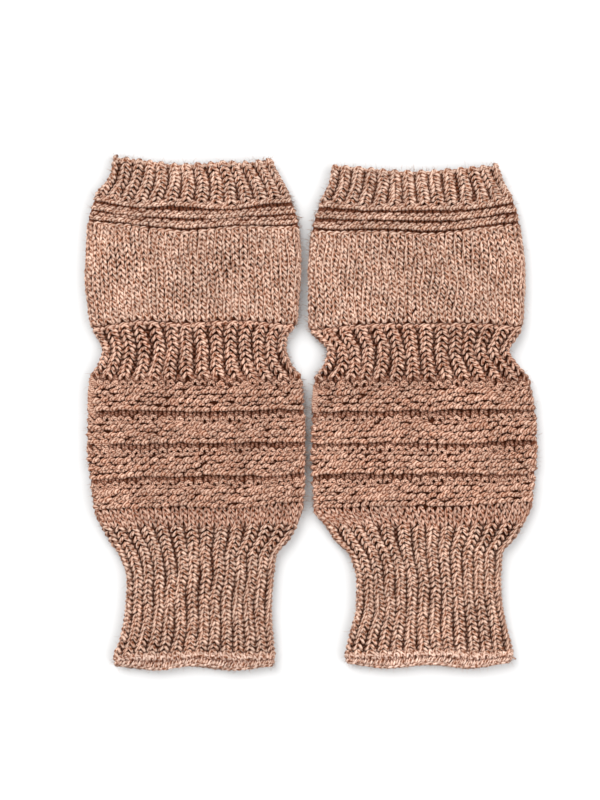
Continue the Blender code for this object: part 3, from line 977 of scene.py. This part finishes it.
def marled_yarn_group():
    """Twisted plies of heathered wool, lighter and darker, slowly changing shade, with painted shade on ply
    sides and low down.
    """
    tree = bpy.data.node_groups.new("marled_yarn", "ShaderNodeTree")
    face = tree.interface
    for name in ("Light Ply", "Dark Ply", "Deep"):
        value = (0.5, 0.3, 0.2, 1)
        face.new_socket(name=name, in_out="INPUT", socket_type="NodeSocketColor").default_value = value
    for name, value in (("Twist Length", 13.0), ("Marl", 0.6), ("Heather", 0.22), ("Roughness", 0.85)):
        face.new_socket(name=name, in_out="INPUT", socket_type="NodeSocketFloat").default_value = value
    face.new_socket(name="Color", in_out="OUTPUT", socket_type="NodeSocketColor")
    face.new_socket(name="Roughness", in_out="OUTPUT", socket_type="NodeSocketFloat")
    face.new_socket(name="Height", in_out="OUTPUT", socket_type="NodeSocketFloat")
    n = Nodes(tree)
    given = n.add("NodeGroupInput").outputs
    result = n.add("NodeGroupOutput").inputs

    # The twist: which length and which ply of it, and how far from the ply's sides, from 0 to 1.
    split = n.add("ShaderNodeSeparateXYZ")
    n.join(n.add("ShaderNodeUVMap", uv_map="yarn").outputs[0], split.inputs[0])
    along, around = split.outputs[0], split.outputs[1]
    length = n.math("FLOOR", n.math("DIVIDE", along, YARN_STEP))
    twist = n.math("ADD", n.math("DIVIDE", along, given["Twist Length"]), around)
    turns = n.math("MULTIPLY", twist, PLIES)
    ply = n.math("MODULO", n.math("FLOOR", turns), PLIES)
    ridge = n.math("SINE", n.math("MULTIPLY", n.math("FRACT", turns), math.pi))

    # What makes it uneven: each ply, each length, the fibres, and three noises over the cloth.
    own_ply = n.add("ShaderNodeTexWhiteNoise", noise_dimensions="2D")
    n.join(n.pair(ply, length), own_ply.inputs["Vector"])
    own_length = n.add("ShaderNodeTexWhiteNoise", noise_dimensions="1D")
    n.join(length, own_length.inputs["W"])
    grain = (n.math("MULTIPLY", value, fine) for value, fine in zip((along, turns), FIBRE_GRAIN))
    fibres = n.noise(n.pair(*grain), 1.0, 3.0, 0.6)
    place = n.add("ShaderNodeTexCoord").outputs["Object"]
    speckle = n.noise(place, SPECKLE_SCALE, 1.0)
    heather = n.noise(place, HEATHER_SCALE)
    patches = n.noise(place, PATCH_SCALE)

    # The colour: the two shades mixed, lighter and darker by place; painted shade on ply sides, in creases
    # and low down.
    blend = n.swing(own_ply.outputs["Value"], given["Marl"])
    blend = n.math("ADD", blend, n.swing(fibres, FIBRE_MIX))
    blend = n.math("ADD", blend, n.swing(speckle, SPECKLE_MIX))
    # Painted shade: each ply is lighter on its top than on its sides.
    blend = n.math("ADD", blend, n.spread(ridge, *PLY_RANGE), clamp=True)
    colour = n.mix(blend, given["Dark Ply"], given["Light Ply"])
    shade = n.spread(heather, *NOISE_RANGE, *HEATHER_RANGE)
    shade = n.math("ADD", shade, n.spread(patches, *NOISE_RANGE, *PATCH_RANGE))
    shade = n.math("ADD", shade, n.math("SUBTRACT", own_length.outputs["Value"], 0.5))
    shade = n.math("ADD", n.math("MULTIPLY", shade, given["Heather"]), MEAN_SHADE)
    scale = n.add("ShaderNodeVectorMath", operation="SCALE")
    n.join(colour, scale.inputs[0])
    n.join(shade, scale.inputs["Scale"])
    depth = n.add("ShaderNodeAttribute", attribute_name="depth").outputs["Fac"]
    ply_crease_shaded = n.mix(n.spread(ridge, *CREASE_RANGE), scale.outputs[0], given["Deep"])
    depth_shaded = n.mix(n.spread(depth, *DEPTH_SHADES), ply_crease_shaded, given["Deep"])
    n.join(depth_shaded, result["Color"])
    n.join(n.math("ADD", given["Roughness"], n.swing(fibres, ROUGH_CHANGE)), result["Roughness"])
    plies, hairs = n.math("MULTIPLY", ridge, PLY_RELIEF), n.math("MULTIPLY", fibres, FIBRE_RELIEF)
    n.join(n.math("ADD", plies, hairs), result["Height"])
    return tree


def new_material(name, settings):
    """A new material, its nodes, and its shader with the given sockets set."""
    material = bpy.data.materials.new(name)
    material.use_nodes = True
    shader = material.node_tree.nodes["Principled BSDF"]
    set_inputs(shader, settings)
    return material, Nodes(material.node_tree), shader.inputs


def yarn_material(group, look):
    """The yarn of one look: its fuzz is a reddish sheen, and its plies and fibres are a bump."""
    material, n, shader = new_material(look.name, {
        "Specular IOR Level": 0.02,
        "Sheen Weight": 0.05,
        "Sheen Roughness": 0.45,
        "Sheen Tint": (1.0, 0.55, 0.38, 1),
    })
    yarn = n.add("ShaderNodeGroup", node_tree=group)
    set_inputs(yarn, {"Light Ply": (*look.light, 1), "Dark Ply": (*look.dark, 1)})
    set_inputs(yarn, {"Deep": (*look.deep, 1), "Twist Length": look.twist})
    n.join(yarn.outputs["Color"], shader["Base Color"])
    n.join(yarn.outputs["Roughness"], shader["Roughness"])
    n.join(n.bump(yarn.outputs["Height"], YARN_RELIEF * MM, YARN_BUMP), shader["Normal"])
    return material


def ground_material():
    """The backs of the loops, deep between the stitches: near black as painted shade, with a faint grain.
    """
    material, n, shader = new_material("backs_of_loops", {"Specular IOR Level": 0.0})
    place = n.add("ShaderNodeTexCoord").outputs["Object"]
    grain = n.noise(place, LOOP_SCALE, 3.0, 0.6)
    n.join(n.mix(n.spread(grain, *NOISE_RANGE), *LOOP_PAINTED_SHADES), shader["Base Color"])
    n.join(n.spread(grain, *LOOP_ROUGHNESS), shader["Roughness"])
    n.join(n.bump(grain, LOOP_RELIEF * MM), shader["Normal"])
    return material


# Building.


def build_hand_warmer(tube, materials, ground):
    """Every stretch's stitches as two pieces, front and back, and the ground that carries them."""
    lengths = knit_rows(tube)
    for number, stretch in enumerate(STRETCHES):
        for on_front in (True, False):
            name = f"{tube.side}_{stretch.name}_{'front' if on_front else 'back'}"
            laid = laid_on(tube, lengths[stretch.name, on_front])
            if not on_front:
                laid = Laid(*(values[:, BACK_RINGS] for values in laid))
            sides = FRONT_SIDES if on_front else BACK_SIDES
            seed = tube.seed + STITCH_MAP_DRAWS + 2 * number + on_front
            data = mesh_of_yarns(f"{name}_stitches", laid, sides, seed)
            finish = materials.get(stretch.name, materials[stretch.slot])
            piece = show(f"{name}_stitches", data, finish)
            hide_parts(name)
    seed = tube.seed + FUZZ_MAP_DRAWS
    fuzz = mesh_of_yarns(f"{tube.side}_fuzz", loose_fibres(tube), FIBRE_SIDES, seed)
    show(f"{tube.side}_fuzz", fuzz, materials["fuzz"])
    if tube.side == "right":
        end = mesh_of_yarns("right_yarn_end", loose_end(), FRONT_SIDES, tube.seed + END_MAP_DRAWS)
        show("right_yarn_end", end, materials["edge_knit"])
    shell = show(f"{tube.side}_ground", ground_mesh(f"{tube.side}_ground", tube), ground)
    area, flat = flat_area(tube)


def build_floor():
    """A large sheet of white paper under the pair."""
    mesh = bmesh.new()
    bmesh.ops.create_grid(mesh, x_segments=1, y_segments=1, size=FLOOR_HALF)
    data = to_data("floor", mesh)
    material, _, _ = new_material("white_paper", {
        "Base Color": (0.70, 0.70, 0.70, 1),
        "Roughness": 0.95,
        "Specular IOR Level": 0.1,
    })
    data.materials.append(material)
    placed("floor", data)


def light_scene():
    """An even white room and two large soft lights, the stronger one from the upper left."""
    world = bpy.data.worlds.new("white_studio")
    world.use_nodes = True
    white = {"Color": (1.0, 1.0, 1.0, 1), "Strength": ROOM_STRENGTH}
    set_inputs(world.node_tree.nodes["Background"], white)
    bpy.context.scene.world = world
    for softbox in SOFTBOXES:
        data = bpy.data.lights.new(softbox.name, "SUN")
        data.energy = softbox.energy
        data.angle = softbox.angle
        light = placed(softbox.name, data)
        light.rotation_euler = (math.radians(softbox.tilt_x), math.radians(softbox.tilt_y), 0)


def add_camera():
    """Straight down from above with a long lens, on the middle of the photograph's frame."""
    data = bpy.data.cameras.new("camera")
    data.lens = LENS
    data.sensor_width = SENSOR
    data.clip_end = VIEW_END
    camera = placed("camera", data)
    distance = VIEW_HEIGHT * MM * LENS / SENSOR
    x, y, z = VIEW_MIDDLE
    camera.location = (x * MM, y * MM, z * MM + distance)
    bpy.context.scene.camera = camera


bpy.context.scene.view_settings.view_transform = "Standard"
add_camera()
light_scene()
build_floor()
marled = marled_yarn_group()
materials = {key: yarn_material(marled, look) for key, look in YARN_LOOKS.items()}
ground = ground_material()
for side, sections, seed in PAIR:
    build_hand_warmer(Tube(side, sections, seed), materials, ground)
